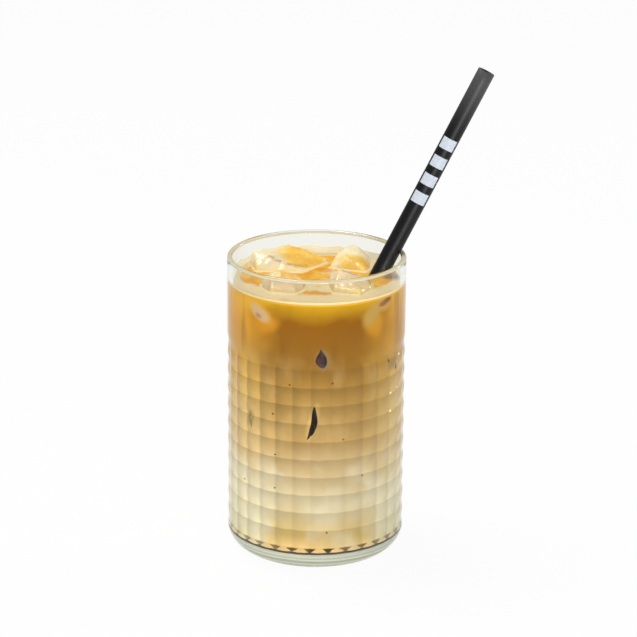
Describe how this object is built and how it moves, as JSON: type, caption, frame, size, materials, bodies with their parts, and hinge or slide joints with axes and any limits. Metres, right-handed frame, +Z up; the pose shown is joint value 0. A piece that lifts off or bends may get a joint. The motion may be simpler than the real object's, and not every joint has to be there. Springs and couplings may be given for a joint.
{
  "type": "iced latte in a glass",
  "caption": "Layered iced milk coffee in a straight pressed glass with a pyramid relief, floating ice and a leaning straw.",
  "frame": {"origin": "centre of the glass's foot, on the surface that it stands on", "axes": "+Z up along the glass, -Y towards the front, the straw leans towards +X"},
  "size_m": [0.1206, 0.082, 0.2261],
  "materials": {
    "glass": "clear pressed glass with a faint grey-green tint, glossy",
    "milk_layer": "opaque pale cream drink, wet sheen",
    "mixed_layer": "opaque tan drink, wet sheen",
    "coffee_layer": "deep amber drink, wet sheen",
    "foam_layer": "thin pale foam and amber surface, wet sheen",
    "ice": "wet ice stained by coffee",
    "straw": "black satin tube with plain pale rings"
  },
  "bodies": {
    "root": {"glass": "glass", "milk_layer": "milk_layer", "mixed_layer": "mixed_layer", "coffee_layer": "coffee_layer", "foam_layer": "foam_layer", "ice_1": "ice", "ice_2": "ice", "ice_3": "ice", "ice_4": "ice", "straw": "straw"}
  },
  "joints": []
}
